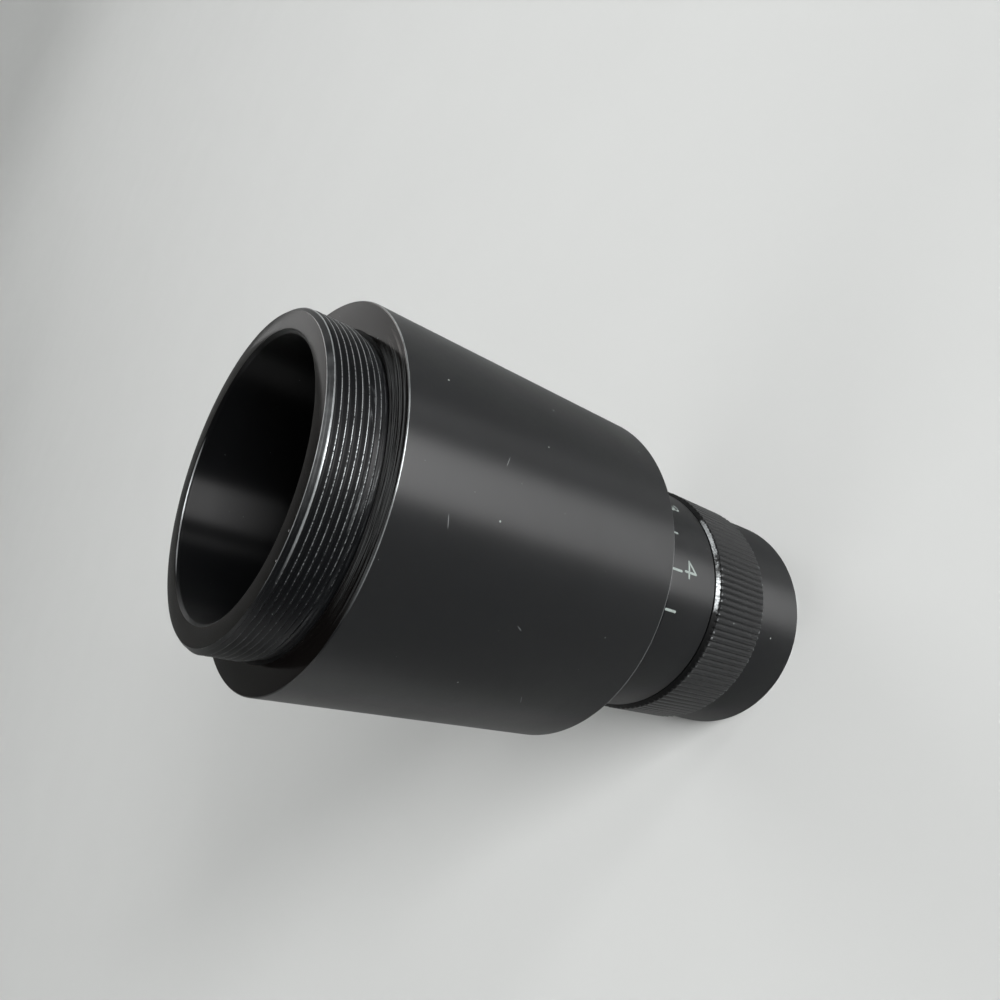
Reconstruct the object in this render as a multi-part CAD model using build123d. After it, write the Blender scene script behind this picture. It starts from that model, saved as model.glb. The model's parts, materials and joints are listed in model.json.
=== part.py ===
from build123d import *
from math import asin, cos, degrees, radians, sin, sqrt, tan
import os

# A low-power microscope objective with an iris, standing on its nose face.
# The optical axis is +Z, the origin is the centre of the nose face and the mounting thread is on top.
# Lengths are in millimetres and angles in degrees, turned about +Z.

# Outside lengths, from the nose face up to the rim of the thread
nose_length = 10.15
knurl_length = 11.0
knurl_chamfer_height = 0.75
parting_groove_width = 0.25
scale_length = 9.75
neck_length = 7.0
barrel_length = 39.9
collar_length = 6.5

# The mounting thread, and the walls and steps that set every other radius from it
thread_radius = 19.5
shoulder_width = 3.5
collar_wall = 3.15
floor_land_width = 1.35
spigot_wall = 1.5
rear_cell_wall = 1.48
front_cell_wall = 2.48
tube_wall = 1.3
ring_wall = 1.15
knurl_rise = 0.5
nose_flare = 0.2
seat_step = 0.5
stop_land_width = 3.0

# Clearances: turning fits, screwed or pushed seats, glass in its cell, cement between two lenses
turning_clearance = 0.05
seat_clearance = 0.02
lens_clearance = 0.05
cement_thickness = 0.01

# Edges of the turned pieces
thread_relief_depth = 0.5
thread_relief_length = 1.7
shoulder_undercut_depth = 0.3
shoulder_undercut_gap = 0.1
thread_lead_chamfer = 0.6
edge_chamfer = 0.25
nose_edge_chamfer = 0.4
bore_edge_chamfer = 0.35

# Straight knurl on the control ring, and the groove that parts it from the scale
rib_count = 120
rib_depth = 0.4
rib_land_share = 0.34
knurl_end_chamfer = 0.3
parting_groove_depth = 0.3

# Thicknesses inside
barrel_floor_thickness = 6.0
stop_land_thickness = 2.0
nose_lip_thickness = 2.2
nose_mouth_step = 0.1
nose_mouth_flare = 1.1

# Control ring travel from the rest reading, towards the open end and towards the closed end
open_turn_angle = 112.8
closed_turn_angle = 18.8

# Drive screw, on the side away from the engraved numbers
screw_angle = 100.0
screw_depth_below_band_top = 5.05
screw_thread_radius = 0.9
screw_pin_radius = 0.6
screw_pin_reach = 0.75
screw_head_recess = 0.1
screw_slot_width = 0.3
screw_slot_depth = 0.35

# Iris leaves
leaf_count = 8
leaf_thickness = 0.05
leaf_band_inset = 1.2
leaf_band_width = 3.6
leaf_span_angle = 110.0
leaf_tail_angle = 3.0
leaf_edge_room = 1.2
leaf_pin_distance = 8.334
leaf_ear_radius = 0.75
leaf_pin_radius = 0.25
leaf_pin_clearance = 0.03
leaf_swing_angle = 24.0
leaf_lead_angle = 8.0
leaf_tilt_angle = 5.14
leaf_gap = 0.06
slot_stations = 14
slot_end_angle = 1.0
slot_probe_angle = 0.01

# Iris seat, drive ring and the ring that holds them in
seat_thickness = 1.2
seat_pin_depth = 1.0
iris_clear_step = 0.4
drive_plate_thickness = 1.0
drive_rim_height = 2.05
drive_rim_width = 0.75
iris_ring_height = 1.5
iris_ring_width = 2.5

# Lens cells and the rings that hold the glass; a mouth is how far a cell stands out past its ring
cell_floor_thickness = 1.0
cell_floor_lip = 1.15
front_cell_mouth = 2.33
rear_cell_mouth = 1.03
lens_ring_lip = 0.85
lens_ring_height = 1.6
key_slot_width = 1.6
key_slot_depth = 0.8

# How far a cutter stands out of what it cuts
cutter_overrun = 1.0

# Cemented doublet, the same glass turned round at each end
crown_edge_thickness = 1.27
flint_thickness = 2.0
outer_curve = 45.0
cemented_curve = 32.0
inner_curve = 120.0

# Radii that follow from the thread and the walls
barrel_radius = thread_radius + shoulder_width
barrel_bore_radius = thread_radius - collar_wall
spigot_radius = barrel_bore_radius - floor_land_width
rear_bore_radius = spigot_radius - spigot_wall
cell_bore_radius = rear_bore_radius - seat_clearance - rear_cell_wall
lens_radius = cell_bore_radius - lens_clearance
front_bore_radius = cell_bore_radius + front_cell_wall + seat_clearance
journal_radius = front_bore_radius + tube_wall
ring_bore_radius = journal_radius + turning_clearance
band_radius = ring_bore_radius + ring_wall
knurl_radius = band_radius + knurl_rise
iris_bore_radius = front_bore_radius - seat_step
stop_land_radius = iris_bore_radius - stop_land_width

# Heights that follow from the lengths
ring_bottom = nose_length + turning_clearance
ring_length = knurl_length + knurl_chamfer_height + parting_groove_width + scale_length
knurl_top = ring_bottom + knurl_length
grip_top = knurl_top + knurl_chamfer_height
band_bottom = grip_top + parting_groove_width
ring_top = ring_bottom + ring_length
neck_bottom = ring_top + turning_clearance
barrel_bottom = neck_bottom + neck_length
shoulder_height = barrel_bottom + barrel_length
rim_height = shoulder_height + collar_length
barrel_floor_top = barrel_bottom + barrel_floor_thickness
screw_height = ring_top - screw_depth_below_band_top
drive_ring_top = screw_height + drive_rim_height / 2
drive_plate_top = drive_ring_top - drive_rim_height
drive_plate_bottom = drive_plate_top - drive_plate_thickness
stop_land_height = drive_ring_top + turning_clearance
stop_land_top = stop_land_height + stop_land_thickness

# Iris geometry that follows: the leaf's turn for each degree of the control ring
leaf_ratio = leaf_swing_angle / (open_turn_angle + closed_turn_angle)
leaf_pitch = 360 / leaf_count
leaf_pin_circle_radius = iris_bore_radius - leaf_edge_room
leaf_outer_radius = leaf_pin_circle_radius - leaf_band_inset
leaf_inner_radius = leaf_outer_radius - leaf_band_width
leaf_pin_spread = 2 * degrees(asin(leaf_pin_distance / 2 / leaf_pin_circle_radius))
leaf_slope = tan(radians(leaf_tilt_angle))
leaf_rise_direction = 90 + leaf_span_angle / 2 + leaf_lead_angle
iris_clear_radius = leaf_inner_radius + iris_clear_step


def at(direction, radius, height=0.0):
    """The point at a direction about the axis, a radius from it and a height."""
    return Vector(radius * cos(radians(direction)), radius * sin(radians(direction)), height)


def turned(*outline):
    """A turned piece, from the corners of its half section as (radius, height)."""
    corners = [(radius, 0, height) for radius, height in outline]
    return revolve(make_face(Polyline(*corners, close=True)), Axis.Z)


def radial_rod(radius, start, end, direction, height):
    """A round rod that lies along a radius of the objective."""
    rod = Cylinder(radius, end - start, align=(Align.CENTER, Align.CENTER, Align.MIN))
    return (Plane.YZ * Pos(0, height, start) * rod).rotate(Axis.Z, direction)


def sector(inner, outer, first, last):
    """A flat piece of a ring between two radii and two directions."""
    sides = [
        CenterArc((0, 0), inner, first, last - first),
        Line(at(first, inner), at(first, outer)),
        CenterArc((0, 0), outer, first, last - first),
        Line(at(last, inner), at(last, outer)),
    ]
    return make_face(sides)


def key_slots(outer, top, bottom):
    """Two slots across a ring's face, for the key that screws it in."""
    height = top - bottom
    across = Box(2 * (outer + cutter_overrun), key_slot_width, height)
    return Pos(0, 0, bottom + height / 2) * across


def leaf_blank():
    """One iris leaf, flat at height 0 and fully open, with its pivot on +X."""
    band = sector(leaf_inner_radius, leaf_outer_radius, -leaf_tail_angle, leaf_span_angle)
    tip = Pos(*at(leaf_span_angle, leaf_inner_radius + leaf_band_width / 2)) * Circle(leaf_band_width / 2)
    ear_outer = leaf_pin_circle_radius + leaf_ear_radius
    ear = sector(leaf_outer_radius - leaf_ear_radius, ear_outer, 0, leaf_pin_spread)
    ends = [Pos(*at(a, leaf_pin_circle_radius)) * Circle(leaf_ear_radius) for a in (0, leaf_pin_spread)]
    neck = sector(leaf_inner_radius, leaf_pin_circle_radius, -leaf_tail_angle, 0)
    outline = band + tip + ear + ends[0] + ends[1] + neck
    blank = extrude(outline, leaf_thickness / 2, both=True)
    tilt_axis = Axis(at(0, leaf_pin_circle_radius), at(leaf_rise_direction - 90, 1))
    return blank.rotate(tilt_axis, leaf_tilt_angle)


def leaf_height(point):
    """How far the tilted leaf's middle plane lies above its pivot, at a point of the open leaf."""
    arm = point - at(0, leaf_pin_circle_radius)
    return leaf_slope * arm.dot(at(leaf_rise_direction, 1))


# Heights inside the iris, set by the room that the tilted leaves need
blank_box = leaf_blank().bounding_box()
seat_top = drive_plate_bottom - blank_box.size.Z - 2 * leaf_gap
seat_bottom = seat_top - seat_thickness
pivot_height = seat_top + leaf_gap - blank_box.min.Z


def leaf_pin_place(control_angle):
    """Where the first leaf's drive pin stands when the control ring is turned from rest."""
    swing = (control_angle + open_turn_angle) * leaf_ratio
    pivot = at(0, leaf_pin_circle_radius)
    arm = at(leaf_pin_spread, leaf_pin_circle_radius) - pivot
    return pivot + arm.rotate(Axis.Z, swing)


def iris_leaf(index):
    """One leaf at rest, with its pivot pin down in the seat and its drive pin up in a slot."""
    pivot = at(0, leaf_pin_circle_radius)
    drive = at(leaf_pin_spread, leaf_pin_circle_radius)
    up = (Align.CENTER, Align.CENTER, Align.MIN)
    down = (Align.CENTER, Align.CENTER, Align.MAX)
    pivot_pin_length = pivot_height - (seat_top - seat_pin_depth)
    drive_base = pivot_height + leaf_height(drive)
    drive_pin_length = drive_plate_top - drive_base
    leaf = Pos(0, 0, pivot_height) * leaf_blank()
    leaf += Pos(pivot.X, pivot.Y, pivot_height) * Cylinder(leaf_pin_radius, pivot_pin_length, align=down)
    leaf += Pos(drive.X, drive.Y, drive_base) * Cylinder(leaf_pin_radius, drive_pin_length, align=up)
    leaf = leaf.rotate(Axis(pivot, (0, 0, 1)), open_turn_angle * leaf_ratio)
    return leaf.rotate(Axis.Z, index * leaf_pitch)


def iris_seat():
    """The fixed plate that holds the pivot pins."""
    outer = front_bore_radius - seat_clearance
    seat = turned(
        (iris_clear_radius, seat_bottom),
        (outer, seat_bottom),
        (outer, seat_top),
        (iris_clear_radius, seat_top),
    )
    drill = Cylinder(leaf_pin_radius + leaf_pin_clearance, 2 * seat_thickness)
    hole = Pos(*at(0, leaf_pin_circle_radius, seat_bottom + seat_thickness / 2)) * drill
    return seat - [hole.rotate(Axis.Z, index * leaf_pitch) for index in range(leaf_count)]


def drive_slot():
    """The curved slot that turns one leaf in proportion to the control ring."""
    half_width = leaf_pin_radius + leaf_pin_clearance
    first = -open_turn_angle - slot_end_angle
    step = (open_turn_angle + closed_turn_angle + 2 * slot_end_angle) / slot_stations
    one_side = []
    other_side = []
    tips = []
    for station in range(slot_stations + 1):
        angle = first + station * step
        here = leaf_pin_place(angle).rotate(Axis.Z, -angle)
        next_angle = angle + slot_probe_angle
        ahead = leaf_pin_place(next_angle).rotate(Axis.Z, -next_angle)
        along = (ahead - here).normalized()
        across = along.rotate(Axis.Z, 90) * half_width
        one_side.append(here + across)
        other_side.append(here - across)
        if station in (0, slot_stations):
            tips.append(here + along * half_width * (1 if station else -1))
    sides = [
        Spline(*one_side),
        ThreePointArc(one_side[-1], tips[1], other_side[-1]),
        Spline(*other_side),
        ThreePointArc(one_side[0], tips[0], other_side[0]),
    ]
    cutter = extrude(make_face(sides), 3 * drive_plate_thickness)
    return Pos(0, 0, drive_plate_bottom - drive_plate_thickness) * cutter


def iris_drive_ring():
    """The turning ring over the leaves: a slotted plate with a rim for the drive screw."""
    outer = iris_bore_radius - turning_clearance
    rim_inner = outer - drive_rim_width
    ring = turned(
        (iris_clear_radius, drive_plate_bottom),
        (outer, drive_plate_bottom),
        (outer, drive_ring_top),
        (rim_inner, drive_ring_top),
        (rim_inner, drive_plate_top),
        (iris_clear_radius, drive_plate_top),
    )
    slot = drive_slot()
    ring -= [slot.rotate(Axis.Z, index * leaf_pitch) for index in range(leaf_count)]
    socket_radius = screw_pin_radius + seat_clearance
    start = rim_inner - cutter_overrun
    end = outer + cutter_overrun
    return ring - radial_rod(socket_radius, start, end, screw_angle, screw_height)


def iris_retaining_ring():
    """The threaded ring that clamps the iris seat against the step in the lens tube."""
    outer = front_bore_radius - seat_clearance
    inner = outer - iris_ring_width
    bottom = seat_bottom - iris_ring_height
    ring = turned(
        (inner, bottom),
        (outer, bottom),
        (outer, seat_bottom),
        (inner, seat_bottom),
    )
    return ring - key_slots(outer, bottom + key_slot_depth, bottom)


def drive_slot_in_tube():
    """The slot round the lens tube in which the drive screw travels, ending at its two stops."""
    half_height = screw_pin_radius + turning_clearance
    inner = iris_bore_radius - cutter_overrun
    outer = journal_radius + cutter_overrun
    start = screw_angle - open_turn_angle
    sweep = open_turn_angle + closed_turn_angle
    corners = [
        (inner, 0, screw_height - half_height),
        (outer, 0, screw_height - half_height),
        (outer, 0, screw_height + half_height),
        (inner, 0, screw_height + half_height),
    ]
    window = revolve(make_face(Polyline(*corners, close=True)), Axis.Z, sweep).rotate(Axis.Z, start)
    ends = [radial_rod(half_height, inner, outer, angle, screw_height) for angle in (start, start + sweep)]
    return window + ends[0] + ends[1]


def lens_tube():
    """The tube that carries everything: it screws into the barrel and holds the iris and both cells."""
    tube = turned(
        (front_bore_radius, nose_lip_thickness),
        (journal_radius, nose_lip_thickness),
        (journal_radius, neck_bottom),
        (band_radius - edge_chamfer, neck_bottom),
        (band_radius, neck_bottom + edge_chamfer),
        (band_radius, barrel_bottom),
        (spigot_radius, barrel_bottom),
        (spigot_radius, barrel_floor_top - bore_edge_chamfer),
        (spigot_radius - bore_edge_chamfer, barrel_floor_top),
        (rear_bore_radius, barrel_floor_top),
        (rear_bore_radius, stop_land_top),
        (stop_land_radius, stop_land_top),
        (stop_land_radius, stop_land_height),
        (iris_bore_radius, stop_land_height),
        (iris_bore_radius, seat_top),
        (front_bore_radius, seat_top),
    )
    return tube - drive_slot_in_tube()


def main_barrel():
    """The wide barrel with its threaded collar, turned from one bar."""
    floor_hole = spigot_radius + seat_clearance
    relief_top = shoulder_height + thread_relief_length
    relief_radius = thread_radius - thread_relief_depth
    return turned(
        (floor_hole, barrel_bottom),
        (barrel_radius - edge_chamfer, barrel_bottom),
        (barrel_radius, barrel_bottom + edge_chamfer),
        (barrel_radius, shoulder_height - edge_chamfer),
        (barrel_radius - edge_chamfer, shoulder_height),
        (thread_radius + shoulder_undercut_gap, shoulder_height),
        (relief_radius, shoulder_height - shoulder_undercut_depth),
        (relief_radius, relief_top - thread_relief_depth),
        (thread_radius, relief_top),
        (thread_radius, rim_height - thread_lead_chamfer),
        (thread_radius - thread_lead_chamfer, rim_height),
        (barrel_bore_radius + bore_edge_chamfer, rim_height),
        (barrel_bore_radius, rim_height - bore_edge_chamfer),
        (barrel_bore_radius, barrel_floor_top),
        (floor_hole, barrel_floor_top),
    )


def knurl_prism():
    """The star-shaped bar that gives the ring its straight ribs."""
    root = knurl_radius - rib_depth
    pitch = 360 / rib_count
    corners = []
    for rib in range(rib_count):
        middle = rib * pitch
        corners.append(at(middle - pitch * rib_land_share / 2, knurl_radius))
        corners.append(at(middle + pitch * rib_land_share / 2, knurl_radius))
        corners.append(at(middle + pitch / 2, root))
    bar = extrude(make_face(Polyline(*corners, close=True)), knurl_length + knurl_chamfer_height)
    return Pos(0, 0, ring_bottom) * bar


def control_ring():
    """The iris ring: a knurled grip below and the band for the engraved scale above."""
    groove_radius = band_radius - parting_groove_depth
    envelope = turned(
        (0, ring_bottom),
        (knurl_radius - knurl_end_chamfer, ring_bottom),
        (knurl_radius, ring_bottom + knurl_end_chamfer),
        (knurl_radius, knurl_top),
        (band_radius, grip_top),
        (0, grip_top),
    )
    band = turned(
        (0, grip_top),
        (groove_radius, grip_top),
        (groove_radius, band_bottom),
        (band_radius, band_bottom),
        (band_radius, ring_top - edge_chamfer),
        (band_radius - edge_chamfer, ring_top),
        (0, ring_top),
    )
    bore = Pos(0, 0, ring_bottom + ring_length / 2) * Cylinder(ring_bore_radius, 2 * ring_length)
    tapped_radius = screw_thread_radius + seat_clearance
    start = ring_bore_radius - cutter_overrun
    end = band_radius + cutter_overrun
    tapped = radial_rod(tapped_radius, start, end, screw_angle, screw_height)
    return (knurl_prism() & envelope) + band - bore - tapped


def drive_screw():
    """The slotted screw that links the control ring to the iris drive ring."""
    head_top = band_radius - screw_head_recess
    pin_start = iris_bore_radius - screw_pin_reach
    screw = radial_rod(screw_thread_radius, ring_bore_radius, head_top, screw_angle, screw_height)
    screw += radial_rod(screw_pin_radius, pin_start, ring_bore_radius, screw_angle, screw_height)
    blade = Box(2 * screw_slot_depth, 4 * screw_thread_radius, screw_slot_width)
    return screw - (Pos(head_top, 0, screw_height) * blade).rotate(Axis.Z, screw_angle)


def nose_ring():
    """The smooth ring at the nose: it keeps the control ring on and its lip covers the tube's end."""
    bore = journal_radius + seat_clearance
    front = band_radius + nose_flare
    throat = cell_bore_radius + nose_mouth_step
    return turned(
        (throat + nose_mouth_flare, 0),
        (front - nose_edge_chamfer, 0),
        (front, nose_edge_chamfer),
        (band_radius, nose_length - edge_chamfer),
        (band_radius - edge_chamfer, nose_length),
        (bore, nose_length),
        (bore, nose_lip_thickness),
        (throat, nose_lip_thickness),
    )


def lens_cell(outer, bottom, length):
    """A turned cell with a floor at its top that the glass seats on."""
    top = bottom + length
    floor = top - cell_floor_thickness
    clear = lens_radius - cell_floor_lip
    return turned(
        (cell_bore_radius, bottom),
        (outer, bottom),
        (outer, top),
        (clear, top),
        (clear, floor),
        (cell_bore_radius, floor),
    )


def sag(curve, radius):
    """How far a spherical face of the given curve falls back at a radius."""
    return curve - sqrt(curve**2 - radius**2)


def lens(lower_vertex, lower_curve, upper_vertex, upper_curve):
    """A lens between two spherical faces; a curve is positive where the face bulges downwards."""

    def face_point(vertex, curve, radius):
        side = 1 if curve > 0 else -1
        return (radius, 0, vertex + side * sag(abs(curve), radius))

    halfway = lens_radius / 2
    lower = [face_point(lower_vertex, lower_curve, radius) for radius in (0, halfway, lens_radius)]
    upper = [face_point(upper_vertex, upper_curve, radius) for radius in (0, halfway, lens_radius)]
    section = make_face(
        [
            ThreePointArc(*lower),
            Line(lower[2], upper[2]),
            ThreePointArc(*upper),
            Line(upper[0], lower[0]),
        ]
    )
    return revolve(section, Axis.Z)


# What a cell holds: the glass between its floor and its ring, each reaching into the curve of the glass
crown_thickness = crown_edge_thickness + sag(outer_curve, lens_radius) + sag(cemented_curve, lens_radius)
glass_thickness = crown_thickness + cement_thickness + flint_thickness
floor_reach = sag(inner_curve, lens_radius - cell_floor_lip)
ring_reach = sag(outer_curve, lens_radius - lens_ring_lip)
held_length = lens_ring_height + glass_thickness - floor_reach - ring_reach + 2 * seat_clearance
front_cell_length = front_cell_mouth + held_length + cell_floor_thickness
rear_cell_length = rear_cell_mouth + held_length + cell_floor_thickness

# The front glass rests on its cell's floor; the rear group is the front one turned over
front_floor = nose_lip_thickness + front_cell_length - cell_floor_thickness
rear_floor = stop_land_top + cell_floor_thickness
flint_back = front_floor + floor_reach - seat_clearance
flint_front = flint_back - flint_thickness
crown_back = flint_front - cement_thickness
crown_front = crown_back - crown_thickness
turn_over = Plane.XY.offset((front_floor + rear_floor) / 2)


def front_crown():
    """The outer lens of the front doublet, bulging both ways."""
    return lens(crown_front, outer_curve, crown_back, -cemented_curve)


def front_flint():
    """The inner lens of the front doublet, cemented to the crown."""
    return lens(flint_front, -cemented_curve, flint_back, -inner_curve)


def front_lens_ring():
    """The threaded ring that holds the front doublet in its cell."""
    outer = cell_bore_radius - seat_clearance
    inner = lens_radius - lens_ring_lip
    top = crown_front + ring_reach - seat_clearance
    bottom = top - lens_ring_height
    ring = turned(
        (inner, bottom),
        (outer, bottom),
        (outer, top),
        (inner, top),
    )
    return ring - key_slots(outer, bottom + key_slot_depth, bottom)


def front_cell():
    """The cell of the front doublet, held between the tube's end and the nose ring's lip."""
    return lens_cell(front_bore_radius - seat_clearance, nose_lip_thickness, front_cell_length)


def rear_cell():
    """The cell of the rear doublet, screwed down on the stop land, with key slots in its rim."""
    outer = rear_bore_radius - seat_clearance
    lower = nose_lip_thickness + front_cell_length - rear_cell_length
    cell = lens_cell(outer, lower, rear_cell_length)
    return mirror(cell - key_slots(outer, lower + key_slot_depth, lower), about=turn_over)


pieces = {
    "main_barrel": main_barrel(),
    "lens_tube": lens_tube(),
    "control_ring": control_ring(),
    "drive_screw": drive_screw(),
    "nose_ring": nose_ring(),
    "front_cell": front_cell(),
    "front_crown_lens": front_crown(),
    "front_flint_lens": front_flint(),
    "front_lens_ring": front_lens_ring(),
    "rear_cell": rear_cell(),
    "rear_crown_lens": mirror(front_crown(), about=turn_over),
    "rear_flint_lens": mirror(front_flint(), about=turn_over),
    "rear_lens_ring": mirror(front_lens_ring(), about=turn_over),
    "iris_seat": iris_seat(),
    "iris_drive_ring": iris_drive_ring(),
    "iris_retaining_ring": iris_retaining_ring(),
}
for index in range(leaf_count):
    pieces[f"iris_leaf_{index + 1}"] = iris_leaf(index)

os.makedirs("parts", exist_ok=True)
for name, piece in pieces.items():
    export_step(piece, f"parts/{name}.step")
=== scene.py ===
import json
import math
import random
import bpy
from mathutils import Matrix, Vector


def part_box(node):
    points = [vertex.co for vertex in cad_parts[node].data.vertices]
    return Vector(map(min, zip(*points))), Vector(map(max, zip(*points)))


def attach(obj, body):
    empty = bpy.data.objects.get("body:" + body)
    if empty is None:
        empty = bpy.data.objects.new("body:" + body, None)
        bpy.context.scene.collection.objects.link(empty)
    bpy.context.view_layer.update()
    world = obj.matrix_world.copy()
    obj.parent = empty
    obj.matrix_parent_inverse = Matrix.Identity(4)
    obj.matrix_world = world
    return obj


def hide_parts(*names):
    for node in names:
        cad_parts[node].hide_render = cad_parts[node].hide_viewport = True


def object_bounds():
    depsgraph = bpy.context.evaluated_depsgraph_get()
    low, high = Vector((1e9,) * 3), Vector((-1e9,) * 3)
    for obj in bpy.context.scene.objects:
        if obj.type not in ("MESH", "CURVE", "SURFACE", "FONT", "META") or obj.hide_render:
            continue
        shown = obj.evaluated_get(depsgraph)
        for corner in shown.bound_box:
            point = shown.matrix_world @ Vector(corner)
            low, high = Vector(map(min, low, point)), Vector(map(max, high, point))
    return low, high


bl_info = {
    "name": "Microscope objective looks",
    "version": (1, 0, 0),
    "blender": (4, 5, 0),
    "location": "3D View > Sidebar > Objective",
    "description": "Dresses a microscope objective: thread, knurl, engraved scale, worn black finish",
    "category": "Object",
}

import bmesh
import bpy
import numpy as np
from bpy.props import FloatProperty, FloatVectorProperty, IntProperty, PointerProperty
from mathutils import Matrix, Vector

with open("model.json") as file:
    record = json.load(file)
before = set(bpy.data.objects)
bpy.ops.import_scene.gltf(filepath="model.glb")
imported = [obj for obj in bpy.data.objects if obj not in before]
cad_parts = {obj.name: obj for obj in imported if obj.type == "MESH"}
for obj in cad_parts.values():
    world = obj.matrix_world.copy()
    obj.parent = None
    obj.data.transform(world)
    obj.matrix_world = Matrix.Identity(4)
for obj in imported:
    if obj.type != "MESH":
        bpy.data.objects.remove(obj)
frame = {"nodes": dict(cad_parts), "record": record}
cad_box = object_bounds()
nodes = frame["nodes"]
mounts = {mount["name"]: mount for mount in frame["record"]["mounts"]}

MM = 0.001
FULL_TURN = 2 * math.pi


def heights_of(node):
    """The lowest and highest point of a CAD node, in millimetres."""
    low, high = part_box(node)
    return low.z / MM, high.z / MM


def radii_at(node, height):
    """The distinct distances from the axis of a CAD node's corners at a height, in millimetres."""
    corners = np.array([v.co for v in nodes[node].data.vertices]) / MM
    level = corners[np.abs(corners[:, 2] - height) < 0.004]
    return [float(r) for r in sorted(set(np.round(np.hypot(level[:, 0], level[:, 1]), 2)))]


# Places that the frame gives, in millimetres
BARREL_BOTTOM, RIM = heights_of("main_barrel")
RING_BOTTOM, RING_TOP = heights_of("control_ring")
NOSE_BOTTOM, NOSE_TOP = heights_of("nose_ring")
FLOOR_TOP = heights_of("lens_tube")[1]
BARREL_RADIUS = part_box("main_barrel")[1].x / MM
NECK_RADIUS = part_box("lens_tube")[1].x / MM
NOSE_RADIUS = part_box("nose_ring")[1].x / MM
KNURL_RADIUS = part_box("control_ring")[1].x / MM
THREAD_RADIUS = mounts["mounting_thread"]["dims"]["r_mm"]
SHOULDER = mounts["seating_shoulder"]["pos_m"][2] / MM
RIM_INNER, RIM_OUTER = radii_at("main_barrel", RIM)
SHOULDER_INNER, SHOULDER_OUTER = radii_at("main_barrel", SHOULDER)
FLOOR_HOLE, BORE_RADIUS = radii_at("main_barrel", FLOOR_TOP)
RING_BORE = radii_at("control_ring", RING_TOP)[0]
NOSE_BORE = radii_at("nose_ring", NOSE_TOP)[0]
SCREW_MIDDLE = (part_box("drive_screw")[0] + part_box("drive_screw")[1]) / 2 / MM

# Places inside a node, as the CAD model has them
RELIEF_RADIUS = THREAD_RADIUS - 0.5
RELIEF_BOTTOM = SHOULDER - 0.3
KNURL_TOP = RING_BOTTOM + 11.0
GRIP_TOP = KNURL_TOP + 0.75
BAND_BOTTOM = GRIP_TOP + 0.25
GROOVE_RADIUS = NECK_RADIUS - 0.3
BAND_CHAMFER = 0.25
NOSE_CHAMFER = 0.4
NOSE_MOUTH_RADIUS = 13.2
NOSE_LIP_RADIUS = 12.1
NOSE_LIP = 2.2
SCREW_HOLE_RADIUS = 0.92

# How far below the band's top the numbers stand, and how deep the painted lines reach
NUMERAL_FOOT = 3.04
MARK_DEPTH = 0.06


def length(name, millimetres, description):
    """A length that a user can change, given in millimetres and kept in metres."""
    default = millimetres * MM
    return FloatProperty(name=name, description=description, default=default, unit="LENGTH", precision=5)


def angle(name, degrees, description):
    """An angle that a user can change."""
    return FloatProperty(name=name, description=description, default=math.radians(degrees), subtype="ANGLE")


def share(name, value, description):
    """A share from 0 to 1 that a user can change."""
    return FloatProperty(name=name, description=description, default=value, min=0, max=1, subtype="FACTOR")


def colour(name, value, description):
    """A colour that a user can change."""
    return FloatVectorProperty(name=name, description=description, default=value, size=3, subtype="COLOR")


def power(name, watts, description):
    """A lamp's power that a user can change."""
    return FloatProperty(name=name, description=description, default=watts, unit="POWER")


class ThreadSettings(bpy.types.PropertyGroup):
    """The mounting thread and the run-out behind it."""

    pitch: length("Pitch", 0.75, "Advance of the thread in one turn")
    depth: length("Depth", 0.42, "From crest to root")
    crest_flat: share("Crest flat", 0.09, "Flat of the crest as a share of the pitch")
    root_flat: share("Root flat", 0.12, "Flat of the root as a share of the pitch")
    crest_height: length("First crest", 84.80, "Height of a crest where the scale is read")
    run_out_start: length("Run-out start", 80.45, "Height at which the crests begin to sink")
    run_out_length: length("Run-out length", 1.4, "Height over which the crests sink to the relief")
    tool_mark_height: length("Tool marks", 0.025, "Height of the turned lines in the run-out")


class KnurlSettings(bpy.types.PropertyGroup):
    """The straight knurl of the control ring."""

    ribs: IntProperty(name="Ribs", description="Number of ribs round the ring", default=120)
    depth: length("Depth", 0.2, "From rib to groove")
    land: share("Land", 0.38, "Flat of a rib as a share of the pitch")
    unevenness: length("Unevenness", 0.03, "How far one rib differs from the next")
    wear_first: angle("First worn place", -48.0, "Where the chamfer is worn bright")
    wear_second: angle("Second worn place", -76.0, "Where the chamfer is worn bright too")


class ScaleSettings(bpy.types.PropertyGroup):
    """The engraved scale, read at the side that faces the viewer."""

    step: angle("Step", 18.8, "Turn from one tick to the next")
    reading_direction: angle("Reading direction", -72.1, "Where the rest reading stands")
    rest_reading: IntProperty(
        name="Rest reading", description="Number at the index line at rest", default=4
    )
    tick_length: length("Tick length", 1.95, "Length of a tick")
    numeral_height: length("Numeral height", 2.35, "Height of a number")
    line_width: length("Line width", 0.33, "Width of an engraved line")


class FinishSettings(bpy.types.PropertyGroup):
    """Colours of the finishes."""

    black: colour("Black", (0.0022, 0.0024, 0.0028), "Anodised black of the turned pieces")
    face: colour("Faces", (0.0036, 0.0031, 0.0029), "Browner black of the faced ends")
    # The bare metal colour also serves for painted highlight lines on edges and crests
    bare: colour("Bare metal", (0.34, 0.355, 0.36), "Metal where the black is worn off")
    paint: colour("Paint", (0.160, 0.185, 0.175), "Paint in the engraved lines")
    dust: colour("Dust", (0.20, 0.22, 0.21), "Dust specks")


class StageSettings(bpy.types.PropertyGroup):
    """Floor, lamps and camera."""

    floor: colour("Floor", (0.66, 0.67, 0.66), "Pale floor and backdrop")
    key_power: power("Key power", 90.0, "Power of the main softbox")
    side_power: power("Side power", 6.0, "Power of the narrow strip")
    back_power: power("Back power", 6.3, "Power of the lamp behind")
    rear_power: power("Rear power", 6.0, "Power of the lamp on the far side")
    world: FloatProperty(name="World", description="Strength of the light from all round", default=0.2)


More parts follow.
